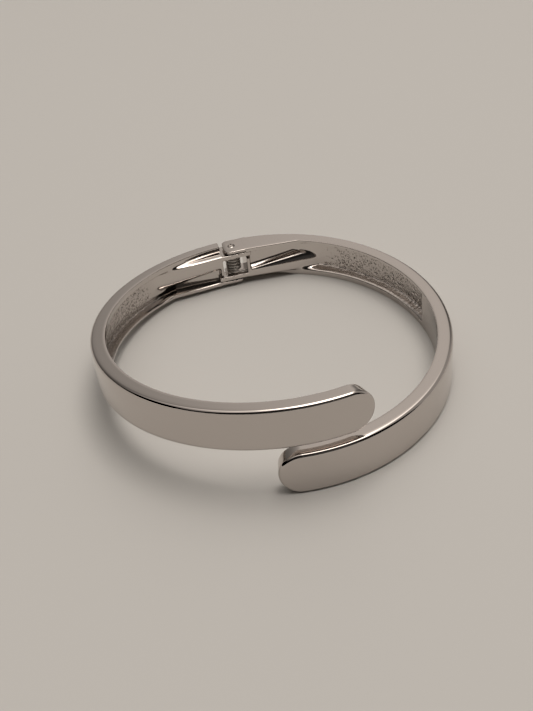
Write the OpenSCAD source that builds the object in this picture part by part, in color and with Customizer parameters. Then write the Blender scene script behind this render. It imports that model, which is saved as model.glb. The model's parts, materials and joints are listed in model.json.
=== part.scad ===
// Hinged crossover bangle: two matching cast half bands, a hinge pin and a torsion spring.
// Both halves share one casting, drawn about the hinge axis and turned over for the other side;
// only the pocket next to the hinge is less tall in the left one. The whole bangle is then tipped
// so that the right half lies flat on its lower edge.

/* [Bangle] */
// Diameter across the outside
outer_d = 64; // [60:0.5:70]
// Height of each band, along the hinge pin
band_h = 7.9; // [7.6:0.1:9]
// Thickness of the solid part of each band
band_t = 2.7; // [2.5:0.1:3]
// Height of the open gap between the two ends where they cross
end_gap = 1.8; // [1:0.1:4]
// How far each end runs past the middle of the front
end_past = 8.4; // [6:0.2:12]

/* [Hollow back] */
// Thickness of the outer skin behind the hollow
skin_t = 1.1; // [0.9:0.1:1.4]
// Height of the rim on the side of the band that carries the lug
lug_rim = 0.65; // [0.6:0.05:1]
// Height of the other rim
plain_rim = 1.25; // [1:0.05:1.8]
// Distance of the hollow's end wall behind the widest point
hollow_end = 1.5; // [0:0.5:8]
// Distance from the middle at which the hollow runs out towards the hinge
hollow_start = 13.1; // [12.5:0.1:14]
// Distance from the middle at which the hollow reaches its full depth
hollow_deep = 17; // [16.5:0.5:22]

/* [Hinge] */
// Distance of the pin's axis inside the outer face at the back
pin_inset = 2.6; // [2.4:0.05:2.8]
// Diameter of the hinge pin
pin_d = 1.2; // [1:0.05:1.3]
// Clearance round the pin in the knuckles that turn on it, on the radius
pin_play = 0.05; // [0.03:0.01:0.08]
// Distance of each casting's cut end from the pin's axis
hinge_cut = 2.45; // [2.4:0.05:2.8]
// Half width of the lugs and knuckles, front to back
lug_half = 2.2; // [2.1:0.05:2.3]
// Distance that the lugs and knuckles reach past the pin's axis
lug_past = 1.7; // [1.5:0.05:1.75]
// Height of the lug's inner face above the middle of the hinge
lug_level = 3.05; // [3:0.05:3.1]
// Thickness of the knuckle plate that ends in the stop finger
plate_t = 0.85; // [0.6:0.05:0.9]
// Running gap between stacked plates
plate_gap = 0.25; // [0.1:0.05:0.3]
// Reach of the stop finger past the pin's axis
finger_reach = 3.45; // [3.2:0.05:3.8]
// Gap between the stop finger and the wall that it rests against when closed
stop_gap = 0.05; // [0.02:0.01:0.1]
// Level of the right pocket's floor above the middle of the hinge
pocket_floor = -0.8; // [-1:0.1:0]
// Level of the left pocket's floor, before it is turned over
left_pocket_floor = 0; // [-1:0.1:0.3]
// Depth of the pocket's back wall, from the pin's axis towards the wrist
pocket_back = 1.1; // [1:0.05:1.2]
// Distance of the pocket's far end from the pin's axis
pocket_end = 17.5; // [17:0.5:20]
// Thickness of the web between the pocket and the spring
web_t = 0.65; // [0.5:0.05:0.7]

/* [Spring] */
// Diameter of the spring wire
wire_d = 0.45; // [0.4:0.05:0.6]
// Mean radius of the coil
coil_r = 1.3; // [1.2:0.05:1.4]
// Number of turns
coil_turns = 5; // [3:1:5]
// Length of each leg, from the pin's axis to its tip
leg_reach = 4.1; // [3.5:0.1:4.5]

/* [Hidden] */

ro = outer_d / 2;
end_rise = (band_h + end_gap) / 2;               // each band's height change, hinge to front
tilt = atan(end_rise / outer_d);                 // slope of each band's edges
pin_y = ro - pin_inset;
inner_y = pin_y - lug_half;                      // wrist side face at the hinge
chord_x = hollow_start;                          // where that straight face meets the curved one
chord_y = sqrt(pow(ro - band_t, 2) - pow(chord_x, 2));
chord_slope = (chord_y - inner_y) / (chord_x - hinge_cut);
ramp_y = chord_y - 0.05;                         // the hollow's floor starts just off that corner
deep_y = sqrt(pow(ro - skin_t, 2) - pow(hollow_deep, 2));
plate_top = lug_level - plate_gap;
finger_y = pin_y - pocket_back - stop_gap;       // face of the finger that meets the back wall
notch_level = plate_top - plate_t - 0.18;        // top of the web under the other half's finger
coil_h = 2 * (plate_top - plate_t) - wire_d - 0.2;  // height of the coil between wire centres
leg_hole_d = wire_d + 0.1;
leg_y = pin_y - coil_r;
lug_corner = 1.2;                                // corner radius of the lugs and knuckles
edge_z = band_h / 2 - tan(tilt) * pin_inset;     // height of the outer lug face at the pin
span = 100;                                      // longer than the whole bangle
back_y = sqrt(ro * ro - hinge_cut * hinge_cut);  // rearmost point of the cut walls
rest_y = (end_rise * sin(tilt) + (ro - back_y) * cos(tilt)) / 2;
rest_z = ro * sin(tilt) + band_h / 2 * cos(tilt);
metal = [0.78, 0.77, 0.75];
steel = [0.62, 0.61, 0.6];
$fn = 64;

// Tips the closed bangle about the hinge so that its right half lies flat on the ground.
module at_rest() {
    translate([0, rest_y, rest_z]) rotate([-tilt, 0, 0]) children();
}

// The left half is the right one turned over about the front-to-back line.
module turned_over() {
    rotate([0, 180, 0]) children();
}

// Upright column with the outline of the outer face, moved in by an inset.
module column(inset) {
    cylinder(h = span, r = ro - inset, center = true, $fn = 180);
}

// Sloping layer between two levels, measured along the pin from the right band's middle.
module layer(low, high) {
    translate([0, ro, 0]) rotate([tilt, 0, 0])
        translate([-span, -span, low * cos(tilt)]) cube([2 * span, 2 * span, (high - low) * cos(tilt)]);
}

// Upright wall of the casting in plan: the curved strip, and its thickening next to the hinge,
// which has a straight face on the wrist side and stops short of the band's lower edge.
module wall() {
    difference() {
        column(0);
        difference() {
            column(band_t);
            translate([0, 0, -plate_top]) linear_extrude(span)
                polygon([[-span, inner_y], [hinge_cut, inner_y],
                         [ro, inner_y + chord_slope * (ro - hinge_cut)], [ro, ro], [-span, ro]]);
        }
    }
}

// Rounded plate round the pin, in plan.
module knuckle_plan() {
    corner_x = lug_corner - lug_past;
    corner_y = lug_half - lug_corner;
    for (side = [-1, 1]) translate([corner_x, pin_y + side * corner_y]) circle(lug_corner);
    translate([corner_x, pin_y - lug_half]) square([hinge_cut - corner_x + 0.3, 2 * lug_half]);
    translate([-lug_past, pin_y - corner_y]) square([lug_corner, 2 * corner_y]);
}

// Knuckle plate in plan, with the finger that stops the bangle as it closes.
module stop_plan() {
    knuckle_plan();
    translate([-finger_reach, inner_y]) square([finger_reach, finger_y - inner_y]);
}

// Region that the right half fills: its side, its front as far as the round tip, and its knuckles.
module reach() {
    tip_r = band_h * cos(tilt) / 2 + 0.05;
    tip_x = tip_r - end_past;
    translate([hinge_cut, -1, -span / 2]) cube([span, span, span]);
    translate([tip_x, -span, -span / 2]) cube([span, span, span]);
    translate([tip_x, 0, -ro * tan(tilt)]) rotate([90 + tilt, 0, 0]) cylinder(h = span, r = tip_r, $fn = 96);
    translate([0, 0, lug_level]) linear_extrude(span / 2) knuckle_plan();
    translate([0, 0, -plate_top]) linear_extrude(plate_t) stop_plan();
}

// Hollow on the wrist side: a long groove between two rims that runs out towards the hinge.
module hollow() {
    slope = (deep_y - ramp_y) / (hollow_deep - chord_x);
    intersection() {
        column(skin_t);
        layer(-band_h / 2 + plain_rim, band_h / 2 - lug_rim);
        linear_extrude(span, center = true)
            polygon([[chord_x, ramp_y], [span, ramp_y + slope * (span - chord_x)],
                     [span, hollow_end], [chord_x, hollow_end]]);
    }
}

// Pocket behind the web, open to the hollow at its far end, and the notch that takes the other
// stop finger. The pocket's back is straight at first, and then follows the outer skin.
module pocket(floor_level) {
    back = pin_y - pocket_back;
    near = hinge_cut + web_t;
    intersection() {
        column(skin_t);
        translate([near, 0, floor_level]) cube([pocket_end - near, back, lug_level - floor_level]);
    }
    translate([0, 0, notch_level]) cube([near + 1, back, lug_level - notch_level]);
}

// One casting, drawn as the right half, with its own bores and pocket.
module casting(pin_hole_d, floor_level) {
    difference() {
        intersection() {
            wall();
            layer(-band_h / 2, band_h / 2);
            reach();
        }
        hollow();
        pocket(floor_level);
        translate([0, pin_y, lug_level - 0.5]) cylinder(h = 5, d = pin_hole_d);
        translate([0, pin_y, -plate_top - 0.5]) cylinder(h = plate_t + 1, d = pin_d + 2 * pin_play);
        translate([0, leg_y, -coil_h / 2]) rotate([0, 90, 0]) cylinder(h = leg_reach + 0.2, d = leg_hole_d);
    }
}

module right_half() {
    color(metal) at_rest() casting(pin_d, pocket_floor);
}

module left_half() {
    color(metal) at_rest() turned_over() casting(pin_d + 2 * pin_play, left_pocket_floor);
}

// Straight pin, pressed into the right half's lug and free in the other knuckles.
module hinge_pin() {
    color(steel) at_rest() translate([0, pin_y, -edge_z]) cylinder(h = 2 * edge_z, d = pin_d);
}

// Points of the spring's centre line: a leg, the coil, which winds down, and the other leg.
coil_steps = 12;
function coil_point(i) =
    let (a = 360 * i / coil_steps - 90, s = i / (coil_steps * coil_turns))
    [coil_r * cos(a), pin_y + coil_r * sin(a), coil_h * (0.5 - s)];
spring_path = concat(
    [[-leg_reach, leg_y, coil_h / 2]],
    [for (i = [0 : coil_steps * coil_turns]) coil_point(i)],
    [[leg_reach, leg_y, -coil_h / 2]]);

// Ring of points round one point of a path, square to the path, with the pin's side as zero.
wire_sides = 8;
function unit(v) = v / norm(v);
function ring(path, i) =
    let (n = len(path),
         along = unit(path[min(i + 1, n - 1)] - path[max(i - 1, 0)]),
         across = unit(cross(along, [0, 0, 1])),
         upward = cross(across, along))
    [for (k = [0 : wire_sides - 1])
        path[i] + wire_d / 2 * (across * cos(360 * k / wire_sides) + upward * sin(360 * k / wire_sides))];

module torsion_spring() {
    n = len(spring_path);
    points = [for (i = [0 : n - 1]) each ring(spring_path, i)];
    sides = [for (i = [0 : n - 2], k = [0 : wire_sides - 1])
        let (a = i * wire_sides + k, b = i * wire_sides + (k + 1) % wire_sides)
        [a, b, b + wire_sides, a + wire_sides]];
    first = [for (k = [wire_sides - 1 : -1 : 0]) k];
    last = [for (k = [0 : wire_sides - 1]) (n - 1) * wire_sides + k];
    color(steel) at_rest() polyhedron(points, concat([first], sides, [last]), convexity = 8);
}

right_half();
left_half();
hinge_pin();
torsion_spring();
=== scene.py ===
import json
import math

import bpy
import numpy as np
from mathutils import Matrix, Vector


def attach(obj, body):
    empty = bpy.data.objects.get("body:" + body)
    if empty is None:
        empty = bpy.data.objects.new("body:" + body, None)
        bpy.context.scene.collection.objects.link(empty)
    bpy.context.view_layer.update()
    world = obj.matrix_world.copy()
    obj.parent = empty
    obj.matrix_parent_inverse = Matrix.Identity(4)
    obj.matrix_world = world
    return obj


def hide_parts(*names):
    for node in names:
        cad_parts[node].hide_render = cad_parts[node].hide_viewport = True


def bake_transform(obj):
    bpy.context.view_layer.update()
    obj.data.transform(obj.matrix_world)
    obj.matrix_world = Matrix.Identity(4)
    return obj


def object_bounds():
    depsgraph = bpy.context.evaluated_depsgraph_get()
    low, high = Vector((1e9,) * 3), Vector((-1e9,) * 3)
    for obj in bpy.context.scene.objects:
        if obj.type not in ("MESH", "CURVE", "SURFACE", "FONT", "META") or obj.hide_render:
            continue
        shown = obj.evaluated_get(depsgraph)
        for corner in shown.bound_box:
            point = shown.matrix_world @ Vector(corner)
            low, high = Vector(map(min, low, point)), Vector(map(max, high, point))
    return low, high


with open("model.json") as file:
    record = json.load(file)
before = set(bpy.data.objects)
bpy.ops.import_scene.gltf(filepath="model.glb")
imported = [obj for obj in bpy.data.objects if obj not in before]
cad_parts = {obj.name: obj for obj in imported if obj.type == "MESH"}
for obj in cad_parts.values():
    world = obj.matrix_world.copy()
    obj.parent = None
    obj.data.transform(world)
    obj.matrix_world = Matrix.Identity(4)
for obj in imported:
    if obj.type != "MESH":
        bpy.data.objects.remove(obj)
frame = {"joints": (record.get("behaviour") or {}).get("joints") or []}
cad_low, cad_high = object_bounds()

# --- Setting ---------------------------------------------------------------------------------
# A pale matt table top under soft studio light: a bright ceiling, a grey wall behind, brightest a
# little to the right, and a black room towards the viewer. The polished faces show all of it.

TABLE_COLOUR = (0.62, 0.611, 0.592, 1)
TABLE_SIZE = 6.0
EYE = Vector((-0.0333, -0.1418, 0.1227))
LOOK_AT = Vector((-0.00235, -0.00369, 0.006))
EYE_ROLL = math.radians(-5.36)
LENS, SENSOR = 52.4, 36.0
CEILING, WALL, SIDE_GAIN = 1.9, 0.52, 1.62
WARMTH = (1, 0.93, 0.86)
# Brightness of the room by direction, from straight towards the viewer (0) to straight back (1).
BRIGHTNESS = ((0, 0.07), (0.1, 0.05), (0.15, 0.02), (0.3, 0.02), (0.37, CEILING), (0.72, CEILING),
              (0.82, WALL), (1, WALL * 0.85))
# Strength of that light by direction, from far left (0) to far right (1), before SIDE_GAIN.
SIDE_STRENGTH = ((0.3, 0.24), (0.5, 0.47), (0.665, 0.82), (0.74, 0.35), (0.8, 0.14), (1, 0.14))


def add_table():
    """Floor: a square sheet at the level that the bangle stands on."""
    half = TABLE_SIZE / 2
    mesh = bpy.data.meshes.new("table_top")
    corners = [(-half, -half, 0), (half, -half, 0), (half, half, 0), (-half, half, 0)]
    mesh.from_pydata(corners, [], [(0, 1, 2, 3)])
    table = bpy.data.objects.new("table_top", mesh)
    bpy.context.scene.collection.objects.link(table)
    material = bpy.data.materials.new("table_paint")
    material.use_nodes = True
    shader = material.node_tree.nodes["Principled BSDF"]
    shader.inputs["Base Color"].default_value = TABLE_COLOUR
    shader.inputs["Roughness"].default_value = 0.85
    shader.inputs["Specular IOR Level"].default_value = 0.15
    mesh.materials.append(material)


def add_panel(name, place, width, height, power, colour):
    """Light panel: a rectangle of soft light that faces the bangle."""
    light = bpy.data.lights.new(name, "AREA")
    light.shape = "RECTANGLE"
    light.size, light.size_y = width, height
    light.energy = power
    light.color = colour
    panel = bpy.data.objects.new(name, light)
    panel.location = place
    panel.rotation_euler = (-Vector(place)).to_track_quat("-Z", "Y").to_euler()
    bpy.context.scene.collection.objects.link(panel)


def add_room():
    """Room: black towards the viewer, bright overhead and grey behind. Its strength is greatest
    a little to the right, and falls off to the left and at the far right."""
    world = bpy.data.worlds.new("studio")
    bpy.context.scene.world = world
    world.use_nodes = True
    nodes, links = world.node_tree.nodes, world.node_tree.links
    place = nodes.new("ShaderNodeTexCoord")
    axes = nodes.new("ShaderNodeSeparateXYZ")
    links.new(place.outputs["Generated"], axes.inputs[0])
    depth = nodes.new("ShaderNodeMapRange")
    depth.inputs["From Min"].default_value, depth.inputs["From Max"].default_value = -1, 1
    links.new(axes.outputs["Y"], depth.inputs["Value"])
    ramp = nodes.new("ShaderNodeValToRGB")
    elements = ramp.color_ramp.elements
    while len(elements) < len(BRIGHTNESS):
        elements.new(0.5)
    for element, (position, level) in zip(elements, BRIGHTNESS):
        element.position = position
        element.color = (level, level * WARMTH[1], level * WARMTH[2], 1)
    links.new(depth.outputs["Result"], ramp.inputs["Fac"])
    links.new(ramp.outputs["Color"], nodes["Background"].inputs["Color"])
    side = nodes.new("ShaderNodeFloatCurve")
    curve = side.mapping.curves[0]
    for x, y in SIDE_STRENGTH[1:-1]:
        curve.points.new(x, y)
    curve.points[0].location = SIDE_STRENGTH[0]
    curve.points[-1].location = SIDE_STRENGTH[-1]
    side.mapping.update()
    across = nodes.new("ShaderNodeMapRange")
    across.inputs["From Min"].default_value, across.inputs["From Max"].default_value = -1, 1
    links.new(axes.outputs["X"], across.inputs["Value"])
    links.new(across.outputs["Result"], side.inputs["Value"])
    gain = nodes.new("ShaderNodeMath")
    gain.operation = "MULTIPLY"
    gain.inputs[1].default_value = SIDE_GAIN
    links.new(side.outputs["Value"], gain.inputs[0])
    links.new(gain.outputs[0], nodes["Background"].inputs["Strength"])


def add_camera():
    """Camera: looks down on the bangle from the front, a little from its left."""
    data = bpy.data.cameras.new("camera")
    data.lens, data.sensor_width = LENS, SENSOR
    camera = bpy.data.objects.new("camera", data)
    turn = (LOOK_AT - EYE).to_track_quat("-Z", "Y").to_matrix().to_4x4()
    camera.matrix_world = Matrix.Translation(EYE) @ turn @ Matrix.Rotation(EYE_ROLL, 4, "Z")
    bpy.context.scene.collection.objects.link(camera)
    bpy.context.scene.camera = camera


add_table()
add_room()
add_panel("panel_overhead", (0.15, 0.05, 0.9), 0.5, 0.4, 2.2, WARMTH)
add_camera()
bpy.context.scene.view_settings.view_transform = "Standard"

# --- Cast half bands -------------------------------------------------------------------------
# Each half of the bangle is a zinc-alloy casting, hollowed on the wrist side, then polished and
# plated in a silver tone. The left one is the right one turned over, with a less tall pocket.
# Sizes are in millimetres in the hinge's own frame: X to the right, Y to the hinge, Z up the pin,
# with zero at the middle of the ring and of the hinge's height.

MM = 0.001
hinge = frame["joints"][0]
PIN_UP = -Vector(hinge["axis"]).normalized()
TO_HINGE = Vector((1, 0, 0)).cross(PIN_UP) * -1
RING_R = (cad_high.x - cad_low.x) / 2 / MM
PIN_Y = 29.4
RISE = PIN_UP.y / PIN_UP.z          # slope of each band's edges, from the hinge to the front
BAND_HALF = 3.95
BAND_T, SKIN_T = 2.7, 1.1
CUT_X = 2.45                        # cut end of the casting, from the pin
TIP_X = -8.4                        # far end, past the middle of the front
TIP_CENTRE_X = TIP_X + BAND_HALF
FACE_Y = 27.2                       # wrist-side face at the hinge
CHORD_X = 13.1                      # where that straight face meets the curved one
CHORD_Y = math.sqrt((RING_R - BAND_T) ** 2 - CHORD_X ** 2)
DEEP_X = 17.0                       # the hollow is at full depth from here on
DEEP_Y = math.sqrt((RING_R - SKIN_T) ** 2 - DEEP_X ** 2)
HOLLOW_LOW, HOLLOW_HIGH, HOLLOW_END_Y = -2.7, 3.3, 1.5
BOSS_LOW = -2.8                     # lower side of the thickening by the hinge
POCKET_LOW = {"right": -0.8, "left": 0.0}   # pocket's floor in each half, before it is turned over
LUG_LOW = 3.05                      # inner face of the outer lug
POCKET_Y, POCKET_END_X = 28.3, 17.5
WEB_X, NOTCH_LOW = 3.1, 1.77        # far side of the web, and its top under the other's finger
OUTER_ROUND, INNER_ROUND, CUT_ROUND = 0.62, 0.1, 0.15
FINE_END_X = 17.6                   # even, close columns run from the cut end to here
END_MARGIN = 0.02                   # angle with close columns on each side of the hollow's end


def placed(points):
    """Points from the hinge's frame, in millimetres, to the bangle's, in metres."""
    middle = np.array(hinge["pos_m"]) - np.array(TO_HINGE) * PIN_Y * MM
    axes = np.array([Vector((1, 0, 0)), TO_HINGE, PIN_UP])
    return middle + points * MM @ axes


def quads(ids, flip=False):
    """Faces of a grid of vertex numbers: each joins a vertex to its next row and column."""
    a, b, c, d = ids[:-1, :-1], ids[1:, :-1], ids[1:, 1:], ids[:-1, 1:]
    corners = (a, d, c, b) if flip else (a, b, c, d)
    return np.stack([corner.ravel() for corner in corners], 1)


def eased(inside, lead, width, easing):
    """0 to 1 over a width that starts a lead before zero, as a straight slope with rounded ends:
    the running sum of a pulse that grows and dies over the easing length."""
    def half_square(x):
        return np.maximum(x, 0) ** 2 / 2
    inside = inside + lead
    h = easing / 2
    rise = half_square(inside + h) - half_square(inside - h)
    fall = half_square(inside - width + h) - half_square(inside - width - h)
    return (rise - fall) / (easing * width)


def rounding(inset, radius):
    """Drop of a rounded edge: a quarter circle below the face, from its border to its radius."""
    left = np.clip(radius - inset, 0, radius)
    return radius - np.sqrt(radius ** 2 - left ** 2)


def graded(*stops):
    """Stations along a line, from (start, end, step) stretches, in order and without repeats."""
    parts = [np.linspace(a, b, max(2, round(abs(b - a) / step) + 1)) for a, b, step in stops]
    return np.unique(np.round(np.concatenate(parts), 4))


def band_columns():
    """Angles round the ring, clockwise from the hinge: fine where the back is modelled."""
    near = np.arcsin((CUT_X + CUT_ROUND * (1 - np.cos(np.radians(graded((0, 90, 18)))))) / RING_R)
    hinge_zone = np.arcsin(graded((CUT_X + CUT_ROUND, FINE_END_X, 0.12)) / RING_R)
    hollow_end = math.pi / 2 - HOLLOW_END_Y / RING_R
    hollow = graded((math.asin(FINE_END_X / RING_R), hollow_end - END_MARGIN, 0.005),
                    (hollow_end - END_MARGIN, hollow_end + END_MARGIN, 0.0025))
    tip_start = math.pi + math.asin(-TIP_CENTRE_X / RING_R)
    front = graded((hollow_end + END_MARGIN, tip_start, 0.02))
    round_angle = np.radians(graded((0, 70, 5), (70, 89, 2)))
    tip = math.pi + np.arcsin((-TIP_CENTRE_X + BAND_HALF * np.sin(round_angle)) / RING_R)
    return np.unique(np.round(np.concatenate([near, hinge_zone, hollow, front, tip]), 6))


def band_rows():
    """Heights across the band, from its middle: fine at the rounded edges and at each step."""
    edge = OUTER_ROUND * (1 - np.cos(np.radians(graded((0, 90, 15)))))
    flat = BAND_HALF - OUTER_ROUND
    middle = graded((-flat, -3.0, 0.11), (-3.0, -2.2, 0.08), (-2.2, -1.3, 0.15), (-1.3, 1.7, 0.08),
                    (1.7, 2.9, 0.13), (2.9, flat, 0.08))
    return np.concatenate([-BAND_HALF + edge[:-1], middle, BAND_HALF - edge[:-1][::-1]])


def depth_to_line(start, step, a, b):
    """Distance from each start, along its step, to the straight line through a and b."""
    square = np.array([b[1] - a[1], a[0] - b[0]])
    return (np.array(a) - start) @ square / (step @ square)


def depth_to_circle(start, step, radius):
    """Distance from each start, along its step, to the near side of a circle about zero."""
    half = -(start * step).sum(-1)
    return half - np.sqrt(half ** 2 - (start * start).sum(-1) + radius ** 2)


PIT_COUNT, PIT_ANGLES, PIT_RADII = 120, (0.62, 1.5), (0.2, 0.45)
PIT_LOW, PIT_CROWDING = HOLLOW_LOW + 0.1, 2.5
PIT_DEPTH = 0.25                    # as a share of the pit's radius


def pits(angle, level):
    """Depth of the pits in the rough casting: shallow round bowls of random size, scattered over
    the hollow and closest together along its lower corner. A bowl's depth falls as the square of
    one less the square of the distance from its middle over its radius."""
    random = np.random.default_rng(7)
    place = random.uniform(*PIT_ANGLES, PIT_COUNT)
    height = PIT_LOW + (HOLLOW_HIGH - HOLLOW_LOW) * random.random(PIT_COUNT) ** PIT_CROWDING
    radius = random.uniform(*PIT_RADII, PIT_COUNT)
    away = np.hypot((angle[:, None] - place) * RING_R, level[:, None] - height) / radius
    return (PIT_DEPTH * radius * np.maximum(1 - away ** 2, 0) ** 2).sum(1)


# Slopes, each as (lead before the line that it belongs to, width, easing).
BOSS_SIDE = (0.15, 0.45, 0.25)
HOLLOW_LOW_SIDE, HOLLOW_SIDES = (0.1, 0.5, 0.35), (0.1, 0.3, 0.2)
POCKET_TOP, POCKET_ENDS, NOTCH_SIDES = (0.1, 0.2, 0.15), (0.1, 0.3, 0.2), (0.05, 0.15, 0.1)
ROUGH_START = (0, 5, 2)             # from polished metal to rough casting, along X
TURN_ANGLE, TURN_SLOPE = 0.42, (0, 0.3, 0.2)  # where the direction of measuring turns
HINGE_ANGLE, RAMP_ANGLE = 0.6, 0.9  # the boss and pocket, and the hollow's ramp, end before these
POCKET_ROUND, POCKET_ROUND_MORE = 0.45, 1.5   # rounding of the pocket's lower edge, and its growth
GROWTH_START_X, GROWTH_LENGTH = 4, 10
POCKET_DROP = 0.35                  # from the pocket's floor down to the start of that rounding
POCKET_SLOPE, POCKET_FILLET = 1.6, 0.3


def wall_depths(angle, level, pocket_low):
    """Thickness of the casting at each place, measured in from the outer face, the direction
    that it is measured in, and how much of it is rough cast. That direction is straight to the
    front by the hinge and turns to the ring's middle further on. The plain wall is thickened to
    a boss by the hinge, then cut back by the pitted hollow, the pocket and the notch. The pocket's
    lower edge is a quarter circle that grows away from the hinge, then a straight slope, which a
    smooth maximum joins to the back wall."""
    outer = np.stack([np.sin(angle), np.cos(angle)], -1) * RING_R
    turn = angle * eased(angle - TURN_ANGLE, *TURN_SLOPE)
    step = -np.stack([np.sin(turn), np.cos(turn)], -1)
    plain = depth_to_circle(outer, step, RING_R - BAND_T)
    skin = depth_to_circle(outer, step, RING_R - SKIN_T)
    chord = depth_to_line(outer, step, (CUT_X, FACE_Y), (CHORD_X, CHORD_Y))
    near_hinge = angle < HINGE_ANGLE
    boss = np.where(near_hinge, np.maximum(plain, chord), plain)
    x, y = outer[:, 0], outer[:, 1]
    raised = eased(level - BOSS_LOW, *BOSS_SIDE)
    depth = plain + (boss - plain) * raised

    ramp = depth_to_line(outer, step, (CHORD_X, CHORD_Y), (DEEP_X, DEEP_Y))
    floor = np.where(angle < RAMP_ANGLE, np.maximum(skin, ramp), skin)
    room = np.minimum(HOLLOW_HIGH - level, y - HOLLOW_END_Y)
    hollow = eased(level - HOLLOW_LOW, *HOLLOW_LOW_SIDE) * eased(room, *HOLLOW_SIDES)
    hollow *= (x > CHORD_X) * (y > 0)
    hollowed = depth - np.maximum(depth - floor + pits(angle, level), 0) * hollow

    back = np.maximum(depth_to_line(outer, step, (0, POCKET_Y), (1, POCKET_Y)), skin)
    radius = POCKET_ROUND + POCKET_ROUND_MORE * np.clip((x - GROWTH_START_X) / GROWTH_LENGTH, 0, 1)
    border = pocket_low - POCKET_DROP + radius
    sloped = POCKET_SLOPE * np.maximum(level - border, 0)
    rounded = hollowed - rounding(border - level, radius) - sloped
    opened = np.minimum((rounded + back + np.hypot(rounded - back, POCKET_FILLET)) / 2, hollowed)
    ends = np.minimum(x - WEB_X, POCKET_END_X - x)
    pocket = eased(LUG_LOW - level, *POCKET_TOP) * eased(ends, *POCKET_ENDS) * near_hinge
    depth = hollowed + (opened - hollowed) * pocket
    notch_room = np.minimum(np.minimum(level - NOTCH_LOW, LUG_LOW - level), WEB_X + 1 - x)
    depth -= np.maximum(depth - back, 0) * eased(notch_room, *NOTCH_SIDES) * near_hinge
    return depth, step, hollow * eased(x - DEEP_X, *ROUGH_START)


FAR = 9                             # more than the radius of any rounding


def half_band(pocket_low):
    """Surface of the band: an outer and an inner sheet over one grid of angles and levels, with
    edge strips between them. Both sheets drop at their border by a quarter circle."""
    angle, row = band_columns(), band_rows()
    x_out = np.sin(angle) * RING_R
    past = np.where(angle > math.pi, np.maximum(TIP_CENTRE_X - x_out, 0), 0)
    narrowing = np.sqrt(np.maximum(1 - (past / BAND_HALF) ** 2, 0))
    level = row[:, None] * narrowing
    along = np.broadcast_to(angle, level.shape)
    border = BAND_HALF - np.hypot(np.broadcast_to(past, level.shape), level)
    cut_off = np.where(along < 1, x_out - CUT_X, FAR) + FAR * (level > LUG_LOW - 0.1)
    depth, step, rough = wall_depths(along.ravel(), level.ravel(), pocket_low)
    depth, step, rough = (part.reshape(*level.shape, -1) for part in (depth, step, rough))
    outer_drop = np.maximum(rounding(border, OUTER_ROUND), rounding(cut_off, CUT_ROUND))[..., None]
    inner_drop = np.maximum(rounding(border, INNER_ROUND), rounding(cut_off, CUT_ROUND))[..., None]
    outer = np.stack([np.sin(along), np.cos(along)], -1) * RING_R

    def sheet(inward):
        plan = outer + step * inward
        lift = -RISE * (RING_R - plan[..., 1])
        return np.concatenate([plan, (level + lift)[..., None]], -1)

    top, bottom = sheet(outer_drop), sheet(depth - inner_drop)
    none = np.zeros_like(rough)
    shells = [(top, none, False), (bottom, rough, True)]
    share = np.linspace(0, 1, 5)[:, None, None]
    for pick, flip in ((np.s_[0], True), (np.s_[-1], False),
                       (np.s_[:, 0], False), (np.s_[:, -1], True)):
        strip = top[pick] * (1 - share) + bottom[pick] * share
        shells.append((strip, np.broadcast_to(rough[pick] * share, strip[..., :1].shape), flip))
    return shells


def surface(name, shells):
    """Mesh from several grids of points that meet at their borders, to be welded there afterwards."""
    points, faces, marks, count = [], [], [], 0
    for grid, mark, flip in shells:
        ids = count + np.arange(grid.shape[0] * grid.shape[1]).reshape(grid.shape[:2])
        points.append(placed(grid.reshape(-1, 3)))
        marks.append(mark.reshape(-1))
        faces.append(quads(ids, flip))
        count += ids.size
    mesh = bpy.data.meshes.new(name)
    mesh.from_pydata(np.concatenate(points).tolist(), [], np.concatenate(faces).tolist())
    mesh.attributes.new("rough_cast", "FLOAT", "POINT").data.foreach_set(
        "value", np.concatenate(marks).astype(np.float32))
    mesh.polygons.foreach_set("use_smooth", np.ones(len(mesh.polygons), bool))
    piece = bpy.data.objects.new(name, mesh)
    bpy.context.scene.collection.objects.link(piece)
    return piece


def outline(corners, steps=8):
    """Closed outline through corners (x, y, radius): each corner is an arc of that radius, run
    between the points where it touches the two sides."""
    places = np.array([corner[:2] for corner in corners], float)
    parts = []
    for i, (x, y, radius) in enumerate(corners):
        here = places[i]
        back, ahead = places[i - 1] - here, places[(i + 1) % len(corners)] - here
        back, ahead = back / np.linalg.norm(back), ahead / np.linalg.norm(ahead)
        half = math.acos(np.clip(back @ ahead, -1, 1)) / 2
        if radius == 0:
            parts.append(here[None])
            continue
        middle = here + (back + ahead) / np.linalg.norm(back + ahead) * radius / math.sin(half)
        first = here + back * radius / math.tan(half) - middle
        last = here + ahead * radius / math.tan(half) - middle
        a, b = math.atan2(first[1], first[0]), math.atan2(last[1], last[0])
        b = a + (b - a + math.pi) % (2 * math.pi) - math.pi
        turn = np.linspace(a, b, steps)
        parts.append(middle + radius * np.stack([np.cos(turn), np.sin(turn)], 1))
    return np.concatenate(parts)


def mesh_piece(name, points, faces):
    """Object from points in the hinge's frame and lists of corners, smooth-shaded."""
    mesh = bpy.data.meshes.new(name)
    mesh.from_pydata(placed(points).tolist(), [], faces)
    mesh.polygons.foreach_set("use_smooth", np.ones(len(mesh.polygons), bool))
    piece = bpy.data.objects.new(name, mesh)
    bpy.context.scene.collection.objects.link(piece)
    return piece


def finish_modifiers(piece):
    """Replaces a piece's mesh with the one that its modifiers make."""
    made = bpy.data.meshes.new_from_object(piece.evaluated_get(bpy.context.evaluated_depsgraph_get()))
    piece.modifiers.clear()
    piece.data = made


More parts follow.
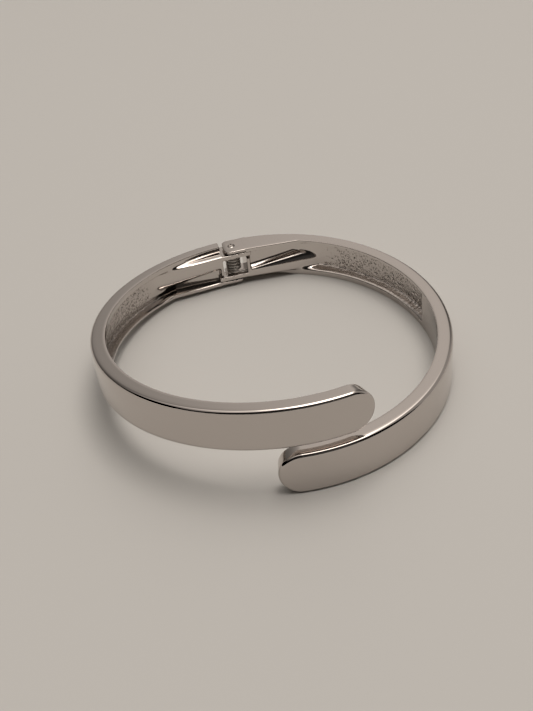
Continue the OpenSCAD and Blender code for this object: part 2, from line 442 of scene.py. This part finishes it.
def plate(name, plan, low, high, edge):
    """Plate of the casting: an outline with a level lower face and a given upper one, its rims
    rounded off."""
    count = len(plan)
    bottom = np.column_stack([plan, np.full(count, low)])
    top = np.column_stack([plan, high(plan[:, 1])])
    ids = np.arange(count)
    after = (ids + 1) % count
    sides = np.stack([ids, after, after + count, ids + count], 1).tolist()
    caps = [ids[::-1].tolist(), (ids + count).tolist()]
    piece = mesh_piece(name, np.concatenate([bottom, top]), sides + caps)
    bevel = piece.modifiers.new("edge", "BEVEL")
    bevel.width, bevel.segments = edge * MM, 4
    bevel.limit_method, bevel.angle_limit = "ANGLE", math.radians(50)
    finish_modifiers(piece)
    return piece


def lathe(name, profile, centre, axis="z", sides=48):
    """Solid of revolution: a profile of (radius, height) turned about an upright or level axis."""
    turn = np.linspace(0, 2 * math.pi, sides, endpoint=False)
    radius, height = np.array(profile, float).T
    x = radius[:, None] * np.cos(turn)
    y = radius[:, None] * np.sin(turn)
    z = np.broadcast_to(height[:, None], x.shape)
    grid = np.stack([x, y, z] if axis == "z" else [z, x, y], -1) + centre
    ids = np.arange(grid[..., 0].size).reshape(grid.shape[:2])
    faces = quads(np.column_stack([ids, ids[:, :1]]), True).tolist()
    caps = [ids[0][::-1].tolist(), ids[-1].tolist()]
    return mesh_piece(name, grid.reshape(-1, 3), faces + caps)


def combine(piece, operation, others):
    """Joins other solids to a piece, or cuts them out of it."""
    for other in others:
        step = piece.modifiers.new(other.name, "BOOLEAN")
        step.operation, step.solver, step.object = operation, "EXACT", other
    finish_modifiers(piece)
    for other in others:
        bpy.data.objects.remove(other)


LUG_HALF, LUG_PAST, LUG_CORNER, LUG_ROOT = 2.2, 1.7, 1.2, 3.4
LUG_TOP = BAND_HALF - 0.01          # a hair under the band's upper edge
STOP_LOW, STOP_T, FINGER_REACH, FINGER_Y = -2.8, 0.85, 3.45, 28.25
FINGER_TIP_ROUND, FINGER_ROOT_ROUND = 0.2, 0.3
PLATE_EDGE = 0.11                   # rounding of the plates' rims
PIN_R, PIN_PLAY, PIN_RING = 0.6, 0.05, 0.1    # PIN_RING: size of the countersink round the pin
LEG_Y, LEG_Z, LEG_HOLE_R = 28.1, -1.625, 0.275
LEG_HOLE_START_X, LEG_HOLE_END_X = CUT_X - 1, CUT_X + 2
WELD_GAP = 1e-7


def casting(name, pocket_low):
    """One half's casting, drawn as the right one: the band, its two knuckle plates, and the holes
    for the pin and for the spring's leg."""
    band = surface(name, half_band(pocket_low))
    weld = band.modifiers.new("weld", "WELD")
    weld.merge_threshold = WELD_GAP
    finish_modifiers(band)
    near, far = PIN_Y - LUG_HALF, PIN_Y + LUG_HALF
    lug = outline([(-LUG_PAST, near, LUG_CORNER), (LUG_ROOT, near, 0), (LUG_ROOT, far, 0),
                   (-LUG_PAST, far, LUG_CORNER)])
    stop = outline([(-FINGER_REACH, near, FINGER_TIP_ROUND), (LUG_ROOT, near, 0),
                    (LUG_ROOT, far, 0), (-LUG_PAST, far, LUG_CORNER),
                    (-LUG_PAST, FINGER_Y, FINGER_ROOT_ROUND),
                    (-FINGER_REACH, FINGER_Y, FINGER_TIP_ROUND)])
    plates = [plate("lug", lug, LUG_LOW, lambda y: LUG_TOP - RISE * (RING_R - y), PLATE_EDGE),
              plate("stop", stop, STOP_LOW, lambda y: STOP_LOW + STOP_T + 0 * y, PLATE_EDGE)]
    combine(band, "UNION", plates)
    hole, top = PIN_R + PIN_PLAY, BAND_HALF - RISE * (RING_R - PIN_Y)
    bore = lathe("bore", [(hole, -5), (hole, top - PIN_RING), (hole + 2 * PIN_RING, top + PIN_RING)],
                 (0, PIN_Y, 0))
    leg_hole = lathe("leg_hole", [(LEG_HOLE_R, LEG_HOLE_START_X), (LEG_HOLE_R, LEG_HOLE_END_X)],
                     (0, LEG_Y, LEG_Z), "x", 24)
    combine(band, "DIFFERENCE", [bore, leg_hole])
    band.data.set_sharp_from_angle(angle=math.radians(35))
    return band


def turn_over(piece):
    """Turns a casting over, by half a turn about the line from the front to the hinge."""
    centre = Vector(placed(np.zeros((1, 3)))[0])
    turn = Matrix.Rotation(math.pi, 4, TO_HINGE)
    piece.data.transform(Matrix.Translation(centre) @ turn @ Matrix.Translation(-centre))


PLATING = (0.575, 0.53, 0.5, 1)
# Duller tone of the rough casting, also painted into its pits as shade, darkest at their middles.
PLATING_DULL_AND_PIT_SHADE = (0.5, 0.455, 0.42, 1)
POLISH_ROUGHNESS, CAST_ROUGHNESS = (0.03, 0.11), (0.34, 0.16)
CLOUD_SIZE, COARSE_GRAIN, FINE_GRAIN = 260, 2300, 4200
PIT_SHADE_RANGE = (1.6, 0.1)            # share of the dull colour, painted as shade in the pits, from a pit's middle to its rim


def grain_group():
    """Cast grain: pits and lumps at two sizes. Height for bump, and a speckle that marks the pits,
    for roughness and for the shade painted into them.
    """
    group = bpy.data.node_groups.new("cast_grain", "ShaderNodeTree")
    group.interface.new_socket("Size", in_out="INPUT", socket_type="NodeSocketFloat")
    group.interface.new_socket("Height", in_out="OUTPUT", socket_type="NodeSocketFloat")
    group.interface.new_socket("Speckle", in_out="OUTPUT", socket_type="NodeSocketFloat")
    nodes, links = group.nodes, group.links
    start, end = nodes.new("NodeGroupInput"), nodes.new("NodeGroupOutput")
    place = nodes.new("ShaderNodeTexCoord")
    lumps = nodes.new("ShaderNodeTexNoise")
    lumps.inputs["Detail"].default_value = 3
    pits = nodes.new("ShaderNodeTexVoronoi")
    shrink = nodes.new("ShaderNodeMapRange")
    shrink.inputs["From Min"].default_value, shrink.inputs["From Max"].default_value = 0.05, 0.4
    add = nodes.new("ShaderNodeMath")
    add.operation = "ADD"
    for texture in (lumps, pits):
        links.new(place.outputs["Object"], texture.inputs["Vector"])
        links.new(start.outputs["Size"], texture.inputs["Scale"])
    links.new(pits.outputs["Distance"], shrink.inputs["Value"])
    links.new(lumps.outputs["Fac"], add.inputs[0])
    links.new(shrink.outputs["Result"], add.inputs[1])
    links.new(add.outputs[0], end.inputs["Height"])
    links.new(shrink.outputs["Result"], end.inputs["Speckle"])
    return group


GRAIN = grain_group()


def plating_material():
    """Polished plating that turns to rough, duller metal where the casting was left as cast, with
    painted shade darkening the middles of its pits.
    """
    material = bpy.data.materials.new("plated_casting")
    material.use_nodes = True
    nodes, links = material.node_tree.nodes, material.node_tree.links
    shader = nodes["Principled BSDF"]
    shader.inputs["Metallic"].default_value = 1.0
    rough = nodes.new("ShaderNodeAttribute")
    rough.attribute_name = "rough_cast"
    place = nodes.new("ShaderNodeTexCoord")
    cloud = nodes.new("ShaderNodeTexNoise")
    cloud.inputs["Scale"].default_value = CLOUD_SIZE
    cloud.inputs["Detail"].default_value = 4
    links.new(place.outputs["Object"], cloud.inputs["Vector"])
    gloss = nodes.new("ShaderNodeMapRange")
    gloss.inputs["To Min"].default_value, gloss.inputs["To Max"].default_value = POLISH_ROUGHNESS
    links.new(cloud.outputs["Fac"], gloss.inputs["Value"])
    grain = nodes.new("ShaderNodeGroup")
    grain.node_tree = GRAIN
    grain.inputs["Size"].default_value = COARSE_GRAIN
    fine = nodes.new("ShaderNodeGroup")
    fine.node_tree = GRAIN
    fine.inputs["Size"].default_value = FINE_GRAIN
    dull = nodes.new("ShaderNodeMapRange")
    dull.inputs["To Min"].default_value, dull.inputs["To Max"].default_value = CAST_ROUGHNESS
    links.new(fine.outputs["Speckle"], dull.inputs["Value"])
    blend = nodes.new("ShaderNodeMix")
    links.new(rough.outputs["Fac"], blend.inputs["Factor"])
    links.new(gloss.outputs["Result"], blend.inputs["A"])
    links.new(dull.outputs["Result"], blend.inputs["B"])
    links.new(blend.outputs["Result"], shader.inputs["Roughness"])
    # Painted shade in the pits: rough cast parts take the dull colour, most at a pit's middle and
    # little at its rim.
    pit_shade = nodes.new("ShaderNodeMath")
    pit_shade.operation = "MULTIPLY"
    links.new(rough.outputs["Fac"], pit_shade.inputs[0])
    pit_shade_share = nodes.new("ShaderNodeMapRange")
    pit_shade_share.inputs["To Min"].default_value, pit_shade_share.inputs["To Max"].default_value = PIT_SHADE_RANGE
    links.new(grain.outputs["Speckle"], pit_shade_share.inputs["Value"])
    links.new(pit_shade_share.outputs["Result"], pit_shade.inputs[1])
    colour = nodes.new("ShaderNodeMix")
    colour.data_type = "RGBA"
    colour.inputs["A"].default_value = PLATING
    colour.inputs["B"].default_value = PLATING_DULL_AND_PIT_SHADE
    links.new(pit_shade.outputs[0], colour.inputs["Factor"])
    links.new(colour.outputs["Result"], shader.inputs["Base Color"])
    # Each bump has a source, a strength and a reach; all but the first fade out where polished.
    normal = None
    for source, strength, reach in ((cloud.outputs["Fac"], 0.02, 0.0004),
                                    (grain.outputs["Height"], 0.8, 0.00008),
                                    (fine.outputs["Height"], 0.7, 0.00003)):
        bump = nodes.new("ShaderNodeBump")
        bump.inputs["Distance"].default_value = reach
        bump.inputs["Strength"].default_value = strength
        if normal is not None:
            weight = nodes.new("ShaderNodeMath")
            weight.operation = "MULTIPLY"
            links.new(source, weight.inputs[0])
            links.new(rough.outputs["Fac"], weight.inputs[1])
            links.new(weight.outputs[0], bump.inputs["Height"])
            links.new(normal, bump.inputs["Normal"])
        else:
            links.new(source, bump.inputs["Height"])
        normal = bump.outputs["Normal"]
    links.new(normal, shader.inputs["Normal"])
    return material


plating = plating_material()
for body, pocket_low in POCKET_LOW.items():
    half_piece = casting(body + "_casting", pocket_low)
    if body == "left":
        turn_over(half_piece)
    half_piece.data.materials.clear()
    half_piece.data.materials.append(plating)
    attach(half_piece, body)
    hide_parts(body + "_half")

# --- Hinge pin -------------------------------------------------------------------------------
# A straight steel pin through both halves' knuckles, pressed into the right half's lug. Its ends
# are domed and sit just inside the countersunk holes of the outer lugs.

STEEL = (0.5, 0.47, 0.44, 1)
STEEL_GRAIN = 5200
PIN_DOME, PIN_SUNK = 0.2, 0.02      # height of each dome, and its top's depth below the band's edge


def steel_material(name, gloss_range):
    """Drawn steel: satin, with a fine grain seen as uneven gloss."""
    material = bpy.data.materials.new(name)
    material.use_nodes = True
    nodes, links = material.node_tree.nodes, material.node_tree.links
    shader = nodes["Principled BSDF"]
    shader.inputs["Metallic"].default_value = 1.0
    shader.inputs["Base Color"].default_value = STEEL
    grain = nodes.new("ShaderNodeGroup")
    grain.node_tree = GRAIN
    grain.inputs["Size"].default_value = STEEL_GRAIN
    gloss = nodes.new("ShaderNodeMapRange")
    gloss.inputs["To Min"].default_value, gloss.inputs["To Max"].default_value = gloss_range
    links.new(grain.outputs["Height"], gloss.inputs["Value"])
    links.new(gloss.outputs["Result"], shader.inputs["Roughness"])
    bump = nodes.new("ShaderNodeBump")
    bump.inputs["Strength"].default_value, bump.inputs["Distance"].default_value = 0.15, 0.00001
    links.new(grain.outputs["Height"], bump.inputs["Height"])
    links.new(bump.outputs["Normal"], shader.inputs["Normal"])
    return material


def pin_profile():
    """Profile of the pin: two domes, as elliptical arcs, and the straight shank between them."""
    end = BAND_HALF - RISE * (RING_R - PIN_Y) - PIN_SUNK
    turn = np.radians(np.linspace(4, 90, 8))
    radius, height = PIN_R * np.sin(turn), end - PIN_DOME * (1 - np.cos(turn))
    return np.concatenate([np.column_stack([radius, -height]),
                           np.column_stack([radius, height])[::-1]])


pin = lathe("hinge_pin_turned", pin_profile(), (0, PIN_Y, 0))
pin.data.materials.append(steel_material("pin_steel", (0.12, 0.3)))
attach(pin, "right")
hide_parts("hinge_pin")

# --- Torsion spring --------------------------------------------------------------------------
# Five close turns of spring-steel wire round the pin. A straight leg runs from each end into a
# hole in one casting, so the coil winds up as the bangle opens and pulls it shut again.

WIRE_R, COIL_R, COIL_TURNS, LEG_REACH = 0.225, 1.3, 5, 4.1


def spring_surface():
    """Round wire carried along the spring's centre line: a straight leg, a helix that winds
    down, and the other leg. Rings of points stand square to the line."""
    turn = np.linspace(-0.5 * math.pi, (2 * COIL_TURNS - 0.5) * math.pi, 36 * COIL_TURNS + 1)
    coil = np.stack([COIL_R * np.cos(turn), PIN_Y + COIL_R * np.sin(turn),
                     np.linspace(-LEG_Z, LEG_Z, turn.size)], 1)
    leg = np.linspace(LEG_REACH, 0.3, 8)[:, None] * (1, 0, 0)
    line = np.concatenate([coil[0] - leg, coil, coil[-1] + leg[::-1]])
    along = np.gradient(line, axis=0)
    along /= np.linalg.norm(along, axis=1, keepdims=True)
    across = np.cross(along, (0, 0, 1))
    across /= np.linalg.norm(across, axis=1, keepdims=True)
    above = np.cross(across, along)
    round_wire = np.linspace(0, 2 * math.pi, 14, endpoint=False)
    grid = (line[:, None] + WIRE_R * (across[:, None] * np.cos(round_wire)[:, None]
                                      + above[:, None] * np.sin(round_wire)[:, None]))
    ids = np.arange(grid[..., 0].size).reshape(grid.shape[:2])
    faces = quads(np.column_stack([ids, ids[:, :1]])).tolist()
    return grid.reshape(-1, 3), faces + [ids[0].tolist(), ids[-1][::-1].tolist()]


spring = mesh_piece("spring_wire", *spring_surface())
spring.data.materials.append(steel_material("spring_steel", (0.16, 0.36)))
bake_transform(spring)
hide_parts("torsion_spring")
